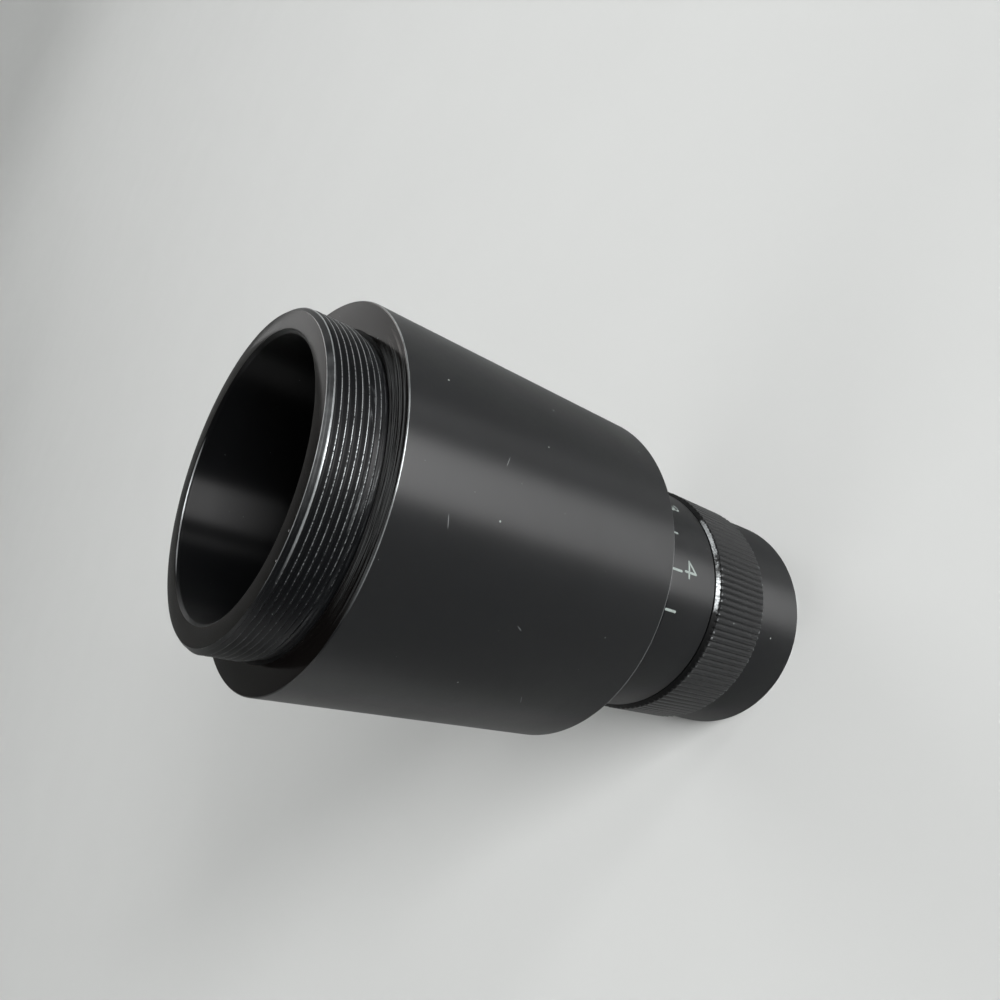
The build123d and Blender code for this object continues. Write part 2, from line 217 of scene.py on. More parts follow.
SETTINGS = {
    "objective_thread": ThreadSettings,
    "objective_knurl": KnurlSettings,
    "objective_scale": ScaleSettings,
    "objective_finish": FinishSettings,
    "objective_stage": StageSettings,
}


class Socket:
    """One output of a node. Arithmetic on it adds Math nodes to its finish."""

    def __init__(self, finish, link):
        self.finish = finish
        self.link = link

    def other(self, name):
        """Another output of the same node."""
        return Socket(self.finish, self.link.node.outputs[name])

    def apply(self, operation, *values, clamp=False):
        inputs = dict(enumerate(values))
        return self.finish.node("ShaderNodeMath", {"operation": operation, "use_clamp": clamp}, inputs)

    def __add__(self, value):
        return self.apply("ADD", self, value)

    def __radd__(self, value):
        return self.apply("ADD", value, self)

    def __sub__(self, value):
        return self.apply("SUBTRACT", self, value)

    def __rsub__(self, value):
        return self.apply("SUBTRACT", value, self)

    def __mul__(self, value):
        return self.apply("MULTIPLY", self, value)

    def __rmul__(self, value):
        return self.apply("MULTIPLY", value, self)

    def __truediv__(self, value):
        return self.apply("DIVIDE", self, value)

    def __rtruediv__(self, value):
        return self.apply("DIVIDE", value, self)

    def __pow__(self, value):
        return self.apply("POWER", self, value)

    def __gt__(self, value):
        return self.apply("GREATER_THAN", self, value)

    def most(self, value):
        """The larger of the two."""
        return self.apply("MAXIMUM", self, value)

    def between(self, low, high):
        """0 below low, 1 above high and a smooth step from one to the other."""
        settings = {"interpolation_type": "SMOOTHSTEP"}
        return self.finish.node("ShaderNodeMapRange", settings, {0: self, 1: low, 2: high, 3: 0.0, 4: 1.0})

    def clamped(self):
        return self.apply("ADD", self, 0.0, clamp=True)


class Finish:
    """A material under construction, with the shape's own coordinates in millimetres."""

    def __init__(self, name):
        self.material = bpy.data.materials.new(name)
        self.material.use_nodes = True
        self.tree = self.material.node_tree
        self.tree.nodes.clear()
        place = self.node("ShaderNodeTexCoord", {}, {}, "Object")
        to_millimetres = {"Vector": place, "Scale": 1 / MM}
        self.point = self.node("ShaderNodeVectorMath", {"operation": "SCALE"}, to_millimetres)
        self.x = self.node("ShaderNodeSeparateXYZ", {}, {0: self.point}, "X")
        self.y = self.x.other("Y")
        self.z = self.x.other("Z")
        self.radius = (self.x * self.x + self.y * self.y) ** 0.5
        self.along = self.z + self.radius

    def node(self, kind, settings, inputs, output=0):
        """Adds a node: its settings first, then the values or links of its sockets."""
        made = self.tree.nodes.new(kind)
        for name, value in settings.items():
            setattr(made, name, value)
        for name, value in inputs.items():
            if isinstance(value, Socket):
                self.tree.links.new(value.link, made.inputs[name])
            else:
                made.inputs[name].default_value = value
        return Socket(self, made.outputs[output]) if made.outputs else None

    def noise(self, vector, scale, detail=2.0, roughness=0.5):
        """Smooth noise about 0.5; scale is in features for each millimetre."""
        inputs = {"Vector": vector, "Scale": scale, "Detail": detail, "Roughness": roughness}
        return self.node("ShaderNodeTexNoise", {}, inputs)

    def turned_noise(self, around, along, detail=3.0, roughness=0.7):
        """Noise drawn out round the axis: features for each radian, and for each millimetre along it."""
        x = self.x / self.radius * around
        y = self.y / self.radius * around
        unrolled = self.node("ShaderNodeCombineXYZ", {}, {0: x, 1: y, 2: self.along * along})
        return self.noise(unrolled, 1.0, detail, roughness)

    def off_crest(self, thread, reading):
        """How far a point is from the thread's nearest crest, as a share of the pitch."""
        turns = (self.x.apply("ARCTAN2", self.y, self.x) - reading) / FULL_TURN
        phase = (self.z - thread.crest_height / MM) / (thread.pitch / MM) - turns
        return phase.apply("PINGPONG", phase, 0.5)

    def scratch(self, direction, height, reach, lean):
        """A short fine line that leans away from the way round."""
        toward_x = self.x * math.cos(direction) + self.y * math.sin(direction)
        around = self.y * math.cos(direction) - self.x * math.sin(direction)
        up = self.z - height
        along = around * math.cos(lean) + up * math.sin(lean)
        across = up * math.cos(lean) - around * math.sin(lean)
        near = (reach / 2 - along.most(along * -1)).between(0.0, reach / 3)
        return near * (0.06 - across.most(across * -1)).between(0.0, 0.04) * (toward_x > 0) * 0.3

    def facing(self, direction, width):
        """1 where the surface lies at a direction about the axis, falling to 0 a width away."""
        toward = (self.x * math.cos(direction) + self.y * math.sin(direction)) / self.radius
        return toward.between(math.cos(width), 1.0)

    def blend(self, factor, first, second):
        """A colour between two colours."""
        values = {0: factor}
        for index, value in ((6, first), (7, second)):
            values[index] = value if isinstance(value, Socket) else (*value, 1.0)
        return self.node("ShaderNodeMix", {"data_type": "RGBA"}, values, 2)

    def raised(self, height):
        """A normal that follows a height in millimetres."""
        return self.node("ShaderNodeBump", {}, {"Strength": 1.0, "Distance": MM, "Height": height})

    def specks(self, scale, size, share_kept):
        """Small round spots scattered in space; size is the largest radius in millimetres."""
        distance = self.node("ShaderNodeTexVoronoi", {}, {"Vector": self.point, "Scale": scale}, "Distance")
        chance = self.node("ShaderNodeSeparateColor", {}, {0: distance.other("Color")}, "Red")
        reach = (1 - chance / share_kept) * (size * scale)
        return (1 - distance / reach.most(0.0001)).between(0.0, 0.5)

    def shader(self, inputs):
        """Ends the material in one Principled shader."""
        surface = self.node("ShaderNodeBsdfPrincipled", {}, inputs)
        self.node("ShaderNodeOutputMaterial", {}, {"Surface": surface})
        return self.material


# Finishes


def scaled(value, factor):
    """A colour made lighter or darker."""
    return tuple(part * factor for part in value)


def black_metal(name, colours, black, roughness, turned, worn=None, dust=1.0, shine=0.3, tint=(1, 1, 1)):
    """Turned and blackened metal: fine lines round the axis, smudges, dust and bare worn places.

    turned is how far its turned lines draw out a highlight, and worn a function that gives, for a finish,
    how far the black is rubbed off; on some edges and crests that bare metal is laid as a painted
    highlight."""
    finish = Finish(name)
    turned_lines = finish.turned_noise(1.2, 7.0)
    smudges = finish.noise(finish.point, 0.09, 3.0, 0.6)
    mottle = finish.noise(finish.point, 1.6, 2.0, 0.6)
    specks = finish.specks(0.34, 0.19, 0.8).most(finish.specks(0.8, 0.06, 0.5) * 0.7) * dust
    bare = worn(finish) if worn else finish.x * 0.0
    shade = finish.blend(((smudges - 0.5) * 1.2 + 0.4).clamped(), scaled(black, 0.75), scaled(black, 1.5))
    shade = finish.blend(specks * 0.8, shade, tuple(colours.dust))
    # Bare metal from the worn mask: real wear, and painted highlight lines on some edges and crests
    shade = finish.blend(bare, shade, tuple(colours.bare))
    gloss = roughness + (smudges - 0.5) * 0.12 + (mottle - 0.5) * 0.04 + specks * 0.4
    height = turned_lines * 0.0008 + mottle * 0.002 + specks * 0.012 - bare * 0.003
    return finish.shader(
        {
            "Base Color": shade,
            "Metallic": bare,
            "Roughness": (gloss * (1 - bare) + bare * 0.38).clamped(),
            "Normal": finish.raised(height),
            "IOR": 1.52,
            "Specular IOR Level": shine,
            "Specular Tint": (*tint, 1),
            "Anisotropic": turned,
            "Anisotropic Rotation": 0.25,
        }
    )


def near_edges(finish, *edges):
    """How near a point is to circles of (radius, height, reach) round the axis, 0 to 1, broken by noise."""
    closest = 0.0
    for radius, height, reach in edges:
        distance = ((finish.radius - radius) ** 2.0 + (finish.z - height) ** 2.0) ** 0.5
        closest = (1 - distance / reach).clamped().most(closest)
    runs = finish.noise(finish.point, 0.35, 2.0) + finish.noise(finish.point, 3.5, 2.0) * 0.35
    return (closest * runs * 2.1).between(0.45, 0.8)


# Direction about the axis, height, length in millimetres, and lean from the way round
SCRATCHES = [
    (-107, 59.4, 1.1, 60),
    (-86, 72.6, 1.7, 14),
    (-66, 66.5, 1.5, -20),
    (-131, 52.0, 1.8, 35),
    (35, 61.0, 2.4, 12),
    (150, 55.5, 1.6, 70),
]


def side(finish, direction, width):
    """1 on the side that faces a direction about the axis, in degrees, and less towards a width away."""
    return finish.facing(math.radians(direction), math.radians(width))


def barrel_edge_wear_and_highlight(finish):
    """Knocked edges, and the few short scratches that show.

    The edges are bare only on the sides that catch the light: wear and painted highlight lines together.
    """
    # Painted highlight lines along the upper and lower edges, only on the lit sides
    upper = near_edges(finish, (BARREL_RADIUS - 0.04, SHOULDER - 0.04, 0.09)) * side(finish, -58, 60)
    lower = near_edges(finish, (BARREL_RADIUS, BARREL_BOTTOM + 0.28, 0.10)) * side(finish, -116, 62)
    worn = upper.most(lower * 0.32)
    for direction, height, reach, lean in SCRATCHES:
        worn = worn.most(finish.scratch(math.radians(direction), height, reach, math.radians(lean)))
    return worn


def rim_edge_wear_and_highlight(finish):
    """Knocked edges of the rim and shoulder, turned streaks on the shoulder and nicks at the rim's edge.

    The edges are bright lines on the lit side: a painted highlight as well as wear.
    """
    # The rim's and shoulder's edge lines are painted highlight lines on the side towards the key lamp
    rim = near_edges(finish, (RIM_OUTER, RIM, 0.09))
    shoulder = near_edges(finish, (SHOULDER_OUTER + 0.1, SHOULDER, 0.09))
    streaks = finish.turned_noise(2.0, 5.0).between(0.40, 0.75) * (SHOULDER + 0.2 - finish.z > 0)
    streaks = streaks * side(finish, -74, 48) * 0.45
    nicks = finish.specks(1.7, 0.15, 0.8) * (finish.z > RIM - 0.05)
    nicks = nicks * (finish.radius - (RIM_OUTER - 0.9)).between(0.0, 0.6) * side(finish, -105, 22)
    return (rim.most(shoulder) * side(finish, -65, 62) * 0.6).most(streaks).most(nicks * 0.8)


def bore_edge_painted_highlight(finish):
    """A painted highlight: bare metal laid along the bore's edge only on the side where the lamp's
    reflection shows.
    """
    # Painted highlight: bare metal on the inner edge, facing the side where the lamp is reflected
    return near_edges(finish, (RIM_INNER - 0.1, RIM - 0.1, 0.14)) * side(finish, 112, 34)


def thread_wear_and_highlight(finish):
    """Dotted bright crests that go on into the run-out, a bright first crest, and smears beside them.

    The crests, the first crest and the rim's edge are made brighter on the side towards the key lamp:
    painted highlight.
    """
    scene = bpy.context.scene
    thread = scene.objective_thread
    run_out = thread.run_out_start / MM
    grains = finish.noise(finish.point, 6.0, 2.0, 0.6)
    patches = finish.turned_noise(5.0, 1.2)
    off_crest = finish.off_crest(thread, scene.objective_scale.reading_direction)
    # towards lays more bare metal on the crests on the side that faces the key lamp: painted highlight
    towards = side(finish, -55, 100)
    line = (0.075 - off_crest).between(0.0, 0.035) * (finish.z - (RELIEF_BOTTOM + 0.5)).between(0.0, 0.6)
    dots = (grains * 1.7 + patches * 0.9 + side(finish, -50, 80) * 0.4 - 1.45).between(-0.05, 0.3)
    crests = line * dots * (towards * 0.35 + 0.28)
    edge = THREAD_RADIUS - RIM_OUTER
    # The first crest and the rim's edge are bright lines on the lit side: painted highlights as well as
    # wear
    first = near_edges(finish, (THREAD_RADIUS - 0.02, RIM - edge, 0.24)) * side(finish, -52, 66)
    rim = near_edges(finish, (RIM_OUTER, RIM, 0.09)) * side(finish, -65, 62) * 0.7
    lead = (finish.z - (RIM - edge)).between(0.0, 0.05) * side(finish, -66, 36)
    lead = lead * (patches * 1.6 - 0.55).clamped() * 0.22
    smears = finish.turned_noise(3.0, 6.0, 4.0).between(0.52, 0.78)
    smears = (run_out + 0.5 - finish.z).between(0.0, 0.4) * smears
    smears = smears * (grains * 1.6 - 0.35).clamped() * (side(finish, -67, 40) * 0.8 + 0.15)
    return crests.most(first).most(rim).most(lead).most(smears).clamped()


def knurl_wear(finish):
    """The chamfer above the ribs is rubbed bright in two places, the ends and tips of the ribs a little."""
    knurl = bpy.context.scene.objective_knurl
    rubbed = finish.noise(finish.point, 2.2, 3.0, 0.75)
    chamfer = (finish.z - (KNURL_TOP + 0.12) + (rubbed - 0.5) * 0.5).between(0.0, 0.12)
    chamfer = chamfer * (GRIP_TOP - 0.06 - finish.z > 0)
    first = finish.facing(knurl.wear_first, math.radians(15))
    second = finish.facing(knurl.wear_second, math.radians(13))
    between = side(finish, -62, 30) * 0.5
    ring = (first.most(second).most(between) + (rubbed - 0.5) * 2.2 - 0.2).between(0.1, 1.1)
    ring = chamfer * ring * 0.6
    outer = (finish.radius - (KNURL_RADIUS - 0.03)).between(0.0, 0.03) * (KNURL_TOP - finish.z > 0)
    lower_ends = (RING_BOTTOM + 0.55 - finish.z).between(0.0, 0.2) * 0.5
    upper_ends = (finish.z - (KNURL_TOP - 0.45)).between(0.0, 0.1) * side(finish, -95, 40) * 0.5
    tips = rubbed.between(0.60, 0.80) * 0.12 + rubbed.between(0.45, 0.65) * (lower_ends + upper_ends)
    tips = outer * tips
    return ring.most(tips).clamped()


def band_edges(finish):
    """The scale band's upper edge is worn a little."""
    return near_edges(finish, (NECK_RADIUS - 0.06, RING_TOP - 0.06, 0.10))


def nose_edges(finish):
    """The nose ring's lower and upper edges are worn a little."""
    lower = (NOSE_RADIUS - 0.15, NOSE_BOTTOM + 0.15, 0.2)
    upper = (NECK_RADIUS - 0.06, NOSE_TOP - 0.06, 0.1)
    return near_edges(finish, lower, upper)


def machined_metal(name, base, roughness, tarnish=0.3, metallic=1.0):
    """A plain machined metal with fine turned lines and blotches of tarnish."""
    finish = Finish(name)
    lines = finish.turned_noise(1.5, 12.0)
    blotches = finish.noise(finish.point, 0.7, 4.0, 0.65).between(0.38, 0.68)
    return finish.shader(
        {
            "Base Color": finish.blend(blotches * tarnish, base, scaled(base, 0.45)),
            "Metallic": metallic,
            "Roughness": (lines * 0.12 + blotches * 0.14 + (roughness - 0.1)).clamped(),
            "Normal": finish.raised(lines * 0.0012 + blotches * 0.0006),
            "Anisotropic": 0.5,
            "Anisotropic Rotation": 0.25,
        }
    )


def engraving_paint(colours):
    """Off-white paint rubbed into the engraved lines, with worn and dirty places."""
    finish = Finish("engraving_paint")
    dirt = finish.noise(finish.point, 1.4, 4.0, 0.7).between(0.42, 0.72)
    grain = finish.noise(finish.point, 9.0, 3.0, 0.7)
    thin = side(finish, -40, 35) * 0.4
    paint = tuple(colours.paint)
    return finish.shader(
        {
            "Base Color": finish.blend(dirt * 0.5 + thin, paint, scaled(paint, 0.30)),
            "Roughness": (grain * 0.3 + 0.5).clamped(),
            "Normal": finish.raised(grain * 0.01 + dirt * 0.004),
        }
    )


def coated_glass():
    """Clear polished glass with a thin coating and a little dust."""
    finish = Finish("coated_glass")
    dust = finish.specks(0.55, 0.05, 0.5)
    haze = finish.noise(finish.point, 0.35, 3.0, 0.6)
    return finish.shader(
        {
            "Base Color": finish.blend(dust * 0.7, (0.93, 0.95, 0.96), (0.55, 0.55, 0.55)),
            "Roughness": (haze * 0.015 + dust * 0.4).clamped(),
            "Normal": finish.raised(dust * 0.004),
            "IOR": 1.52,
            "Transmission Weight": 1.0,
            "Thin Film Thickness": 115.0,
            "Thin Film IOR": 1.38,
        }
    )


# Shapes


def show(name, mesh, materials):
    """A new object of the scene, smooth except where its faces meet at a sharp angle."""
    for material in materials:
        mesh.materials.append(material)
    mesh.shade_smooth()
    mesh.set_sharp_from_angle(angle=math.radians(38))
    piece = bpy.data.objects.new(name, mesh)
    bpy.context.scene.collection.objects.link(piece)
    return piece


def closed_mesh(name, points, faces, slots):
    """A mesh from points in millimetres, with its faces turned outwards."""
    mesh = bpy.data.meshes.new(name)
    mesh.from_pydata((np.asarray(points) * MM).tolist(), [], faces)
    mesh.polygons.foreach_set("material_index", slots)
    work = bmesh.new()
    work.from_mesh(mesh)
    bmesh.ops.recalc_face_normals(work, faces=work.faces)
    work.to_mesh(mesh)
    work.free()
    return mesh


def softened(corners, steps=3):
    """A closed outline of (radius, height, slot) from corners that are rounded off by their softness."""
    outline = []
    for index, (radius, height, slot, softness) in enumerate(corners):
        if softness == 0:
            outline.append((radius, height, slot))
            continue
        corner = Vector((radius, height))
        before = Vector(corners[index - 1][:2]) - corner
        after = Vector(corners[(index + 1) % len(corners)][:2]) - corner
        reach = min(softness, 0.45 * before.length, 0.45 * after.length)
        first = corner + before.normalized() * reach
        last = corner + after.normalized() * reach
        for step in range(steps + 1):
            t = step / steps
            point = first * (1 - t) ** 2 + corner * 2 * t * (1 - t) + last * t**2
            outline.append((point.x, point.y, slot if 2 * step >= steps else corners[index - 1][2]))
    return outline


def turned_mesh(name, outline, directions, radii_of=None):
    """A closed surface turned about the axis; radii_of can change the radii by row and direction."""
    around = len(directions)
    radii = np.array([[row[0]] * around for row in outline])
    heights = np.array([[row[1]] * around for row in outline])
    if radii_of:
        radii = radii_of(radii, heights, directions)
    rows = np.stack([radii * np.cos(directions), radii * np.sin(directions), heights], axis=-1)
    points = rows.reshape(-1, 3)
    faces = []
    slots = []
    for row, (_, _, slot) in enumerate(outline):
        start = row * around
        following = (row + 1) % len(outline) * around
        for step in range(around):
            ahead = (step + 1) % around
            faces.append((start + step, start + ahead, following + ahead, following + step))
        slots.extend([slot] * around)
    return closed_mesh(name, points, faces, slots)


def evenly(count):
    """Directions spread evenly round the axis."""
    return np.arange(count) / count * FULL_TURN


def hand_over(piece, body, slot, *stands_for):
    """The piece moves with its body and stands for its CAD nodes; slot is not used."""
    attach(piece, body)
    if stands_for:
        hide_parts(*stands_for)


def dress(material, *names):
    """These CAD nodes keep their shape and get a new material."""
    for name in names:
        if not nodes[name].material_slots:
            raise RuntimeError(f"{name} has no place for a material")
        for place in nodes[name].material_slots:
            place.material = material


# Barrel

OUTSIDE, FACES, THREAD, BORE = range(4)


def thread_form(phase, thread):
    """How deep the thread is cut, from 0 on the crest to 1 at the root, with slightly rounded corners."""
    depth = 0
    roundings = np.linspace(-0.05, 0.05, 5)
    for shift in roundings:
        off_crest = np.abs(phase + shift - np.round(phase + shift))
        slope = (off_crest - thread.crest_flat / 2) / (0.5 - thread.crest_flat / 2 - thread.root_flat / 2)
        depth = depth + np.clip(slope, 0, 1) / len(roundings)
    return depth


def cut_thread(radii, heights, directions):
    """Cuts the thread and its run-out into the rows of the collar."""
    thread = bpy.context.scene.objective_thread
    reading = bpy.context.scene.objective_scale.reading_direction
    turns = (directions[None, :] - reading) / FULL_TURN
    phase = (heights - thread.crest_height / MM) / (thread.pitch / MM) - turns
    sunk = np.clip((thread.run_out_start / MM - heights) / (thread.run_out_length / MM), 0, 1)
    depth = thread.depth / MM
    crest = THREAD_RADIUS - (depth - 0.03) * sunk**0.8
    cut = (depth * (1 - sunk) ** 1.2 + 0.035 * sunk) * thread_form(phase, thread)
    marks = random.Random(11)
    table = [marks.uniform(-1, 1) for _ in range(200)]
    tool = np.interp(heights, np.linspace(RELIEF_BOTTOM, RIM, 200), table) * thread.tool_mark_height / MM
    threaded = crest - cut + tool * sunk
    threaded = np.where(heights < SHOULDER + 0.02, RELIEF_RADIUS, threaded)
    on_collar = (radii > RIM_OUTER + 0.005) & (radii < THREAD_RADIUS + 0.01)
    return np.where(on_collar, np.minimum(threaded, radii), radii)


def barrel(colours):
    """The barrel with its cut thread, rounded edges and plain bore."""
    edge = 0.07
    chamfer = BARREL_RADIUS - SHOULDER_OUTER
    rows = round((RIM - RELIEF_BOTTOM) / 0.031)
    collar = []
    for row in range(1, rows):
        height = RELIEF_BOTTOM + (RIM - RELIEF_BOTTOM) * row / rows
        collar.append((min(THREAD_RADIUS, RIM_OUTER + RIM - height), height, THREAD, 0))
    corners = [
        (FLOOR_HOLE, BARREL_BOTTOM, FACES, 0),
        (BARREL_RADIUS - chamfer, BARREL_BOTTOM, OUTSIDE, edge),
        (BARREL_RADIUS, BARREL_BOTTOM + chamfer, OUTSIDE, edge),
        (BARREL_RADIUS, SHOULDER - 0.1, OUTSIDE, 0.04),
        (BARREL_RADIUS - 0.1, SHOULDER, FACES, 0.04),
        (SHOULDER_INNER, SHOULDER, THREAD, 0.04),
        (RELIEF_RADIUS, RELIEF_BOTTOM, THREAD, 0),
        *collar,
        (RIM_OUTER, RIM, FACES, 0.03),
        (RIM_INNER, RIM, BORE, 0.10),
        (BORE_RADIUS, RIM - (RIM_INNER - BORE_RADIUS), BORE, 0.10),
        (BORE_RADIUS, FLOOR_TOP, BORE, 0),
        (FLOOR_HOLE, FLOOR_TOP, BORE, 0),
    ]
    mesh = turned_mesh("barrel", softened(corners), evenly(256), cut_thread)
    black = tuple(colours.black)
    face = tuple(colours.face)
    materials = [
        black_metal("barrel_black", colours, black, 0.41, 0.98, barrel_edge_wear_and_highlight),
        black_metal("face_black", colours, face, 0.13, 0.0, rim_edge_wear_and_highlight, shine=0.03, tint=(1, 0.84, 0.76)),
        black_metal("thread_black", colours, black, 0.45, 0.8, thread_wear_and_highlight, 1.3, shine=0.14),
        black_metal("bore_black", colours, scaled(black, 0.4), 0.38, 0.98, bore_edge_painted_highlight, 0.8, shine=0.11),
    ]
    hand_over(show("barrel_skin", mesh, materials), "tube_body", "black_barrel", "main_barrel")


# Control ring

GRIP, CHAMFER, BAND = range(3)
RIB_POINTS = (-0.5, -0.34, -0.2, -0.13, 0, 0.13, 0.2, 0.34)


def control_ring(knurl, colours):
    """The ring with its uneven ribs, the groove between them and the scale band, and the screw's hole."""
    rng = random.Random(5)
    directions = []
    ribs = []
    for rib in range(knurl.ribs):
        shift = rng.uniform(-1, 1) * knurl.unevenness
        lift = rng.uniform(0, 1) * knurl.unevenness * knurl.depth / MM
        for place in RIB_POINTS:
            directions.append((rib + 0.5 + place + shift * (1 - 2 * abs(place))) / knurl.ribs * FULL_TURN)
            flank = (abs(place) - knurl.land / 2) / (0.5 - knurl.land / 2)
            ribs.append(KNURL_RADIUS - lift - min(max(flank, 0), 1) * (knurl.depth / MM - lift))
    ribs = np.array(ribs)

    def cut_ribs(radii, heights, _directions):
        on_grip = (heights < GRIP_TOP - 0.001) & (radii > GROOVE_RADIUS)
        return np.where(on_grip, np.minimum(radii, ribs[None, :]), radii)

    edge = 0.3
    grip = [
        (KNURL_RADIUS, RING_BOTTOM + edge, GRIP, 0),
        # The dark chamfer finish starts 0.2 mm below the knurl's top, widening the painted shade
        (KNURL_RADIUS, KNURL_TOP - 0.2, CHAMFER, 0),
        (KNURL_RADIUS, KNURL_TOP, CHAMFER, 0),
    ]
    for row in range(1, 9):
        share_up = row / 9
        radius = KNURL_RADIUS + (NECK_RADIUS - KNURL_RADIUS) * share_up
        grip.append((radius, KNURL_TOP + (GRIP_TOP - KNURL_TOP) * share_up, CHAMFER, 0))
    corners = [
        (RING_BORE, RING_BOTTOM, GRIP, 0),
        (KNURL_RADIUS - edge, RING_BOTTOM, GRIP, 0),
        (KNURL_RADIUS - edge / 2, RING_BOTTOM + edge / 2, GRIP, 0),
        *grip,
        (NECK_RADIUS, GRIP_TOP, CHAMFER, 0.04),
        (GROOVE_RADIUS, GRIP_TOP, CHAMFER, 0.03),
        (GROOVE_RADIUS, BAND_BOTTOM, BAND, 0.03),
        (NECK_RADIUS, BAND_BOTTOM, BAND, 0.04),
        (NECK_RADIUS, RING_TOP - BAND_CHAMFER, BAND, 0.07),
        (NECK_RADIUS - BAND_CHAMFER, RING_TOP, BAND, 0.07),
        (RING_BORE, RING_TOP, BAND, 0),
    ]
    mesh = turned_mesh("control_ring", softened(corners), np.array(directions), cut_ribs)
    black = tuple(colours.black)
    materials = [
        black_metal("knurl_black", colours, black, 0.42, 0.6, knurl_wear, 0.7),
        # The chamfer is darkened to 0.3 of the black with little shine: painted shade in the groove between
        # knurl and band
        black_metal("chamfer_painted_shade", colours, scaled(black, 0.3), 0.5, 0.3, knurl_wear, 0.3, shine=0.08),
        black_metal("band_black", colours, black, 0.43, 0.98, band_edges, 0.8),
    ]
    piece = show("control_ring_skin", mesh, materials)
    drill(piece, SCREW_HOLE_RADIUS, RING_BORE - 1, NECK_RADIUS + 1, SCREW_MIDDLE)
    hand_over(piece, "control_body", "black_ring", "control_ring")


def drill(piece, radius, start, end, through):
    """A hole from the axis outwards through a point, cut by a Boolean that is applied at once."""
    outwards = Vector((through.x, through.y, 0)).normalized()
    turn = outwards.to_track_quat("Z", "Y").to_matrix().to_4x4()
    middle = outwards * (start + end) / 2 + Vector((0, 0, through.z))
    work = bmesh.new()
    bmesh.ops.create_cone(
        work,
        cap_ends=True,
        segments=48,
        radius1=radius * MM,
        radius2=radius * MM,
        depth=(end - start) * MM,
        matrix=Matrix.Translation(middle * MM) @ turn,
    )
    mesh = bpy.data.meshes.new("drill")
    work.to_mesh(mesh)
    work.free()
    cutter = bpy.data.objects.new("drill", mesh)
    bpy.context.scene.collection.objects.link(cutter)
    cut = piece.modifiers.new("hole", "BOOLEAN")
    cut.operation = "DIFFERENCE"
    cut.object = cutter
    cut.solver = "EXACT"
    bpy.context.view_layer.update()
    before = len(piece.data.vertices)
    shaped = bpy.data.meshes.new_from_object(piece.evaluated_get(bpy.context.evaluated_depsgraph_get()))
    if len(shaped.vertices) == before:
        raise RuntimeError(f"the hole in {piece.name} wasn't cut")
    piece.modifiers.clear()
    piece.data = shaped
    bpy.data.objects.remove(cutter)


# Engraved marks


def arc(centre_x, centre_y, radius, first, last, steps=14):
    """Points along an arc, from one angle to another in degrees."""
    points = []
    for step in range(steps + 1):
        a = math.radians(first + (last - first) * step / steps)
        points.append((centre_x + radius * math.cos(a), centre_y + radius * math.sin(a)))
    return points


# Strokes of each number, in millimetres for a number of the standard height
NUMERALS = {
    1: [[(0, 0), (0, 2.35)], [(0, 2.35), (-0.5, 1.85)]],
    2: [[*arc(0, 1.67, 0.68, 165, -35), (-0.7, 0), (0.76, 0)]],
    3: [arc(0, 1.75, 0.6, 160, -88), arc(0, 0.69, 0.7, 88, -160)],
    4: [[(-0.2, 0), (-0.2, 2.35)], [(-1.74, 0.82), (0.58, 0.82)], [(-0.2, 2.35), (-1.74, 0.82)]],
}
NUMERAL_STANDARD = 2.35


def stroke(line, width, rise):
    """Points and faces of a closed ribbon with round ends, laid on the scale band's cylinder.

    The line's points are (way round the cylinder, height) in millimetres."""
    dense = [line[0]]
    for start, end in zip(line, line[1:]):
        pieces = max(1, math.ceil(math.dist(start, end) / 0.2))
        for step in range(1, pieces + 1):
            dense.append(tuple(a + (b - a) * step / pieces for a, b in zip(start, end)))
    flat = np.array(dense)
    ahead = np.gradient(flat, axis=0)
    ahead /= np.linalg.norm(ahead, axis=1)[:, None]
    beside = np.stack([-ahead[:, 1], ahead[:, 0]], axis=1) * width / 2
    ring = list(flat + beside)
    for k in range(1, 6):
        a = math.pi * k / 6
        ring.append(flat[-1] + beside[-1] * math.cos(a) + ahead[-1] * math.sin(a) * width / 2)
    ring.extend((flat - beside)[::-1])
    for k in range(1, 6):
        a = math.pi * k / 6
        ring.append(flat[0] - beside[0] * math.cos(a) - ahead[0] * math.sin(a) * width / 2)
    half = len(flat)
    count = len(ring)
    faces = []
    for k in range(half - 1):
        faces.append((k, k + 1, half + 5 + (half - 2 - k), half + 5 + (half - 1 - k)))
    faces.append(tuple(range(half - 1, half + 6)))
    faces.append(tuple([*range(2 * half + 4, count), 0]))
    top = [face[::-1] for face in faces]
    bottom = [tuple(count + corner for corner in face) for face in faces]
    walls = [(k, (k + 1) % count, count + (k + 1) % count, count + k) for k in range(count)]
    points = []
    for radius in (NECK_RADIUS + rise, NECK_RADIUS - MARK_DEPTH):
        for around, height in ring:
            direction = around / NECK_RADIUS
            points.append((radius * math.cos(direction), radius * math.sin(direction), height))
    return points, top + bottom + walls


def marks(name, lines, width, seed):
    """Painted strokes on the cylinder of the scale band, as one mesh of closed ribbons.

    Strokes that cross stand at slightly different heights."""
    rng = random.Random(seed)
    points = []
    faces = []
    for index, line in enumerate(lines):
        rise = 0.008 + 0.002 * (index % 3)
        more_points, more_faces = stroke(line, width * rng.uniform(0.9, 1.1), rise)
        faces.extend(tuple(len(points) + corner for corner in face) for face in more_faces)
        points.extend(more_points)
    return closed_mesh(name, points, faces, [0] * len(faces))


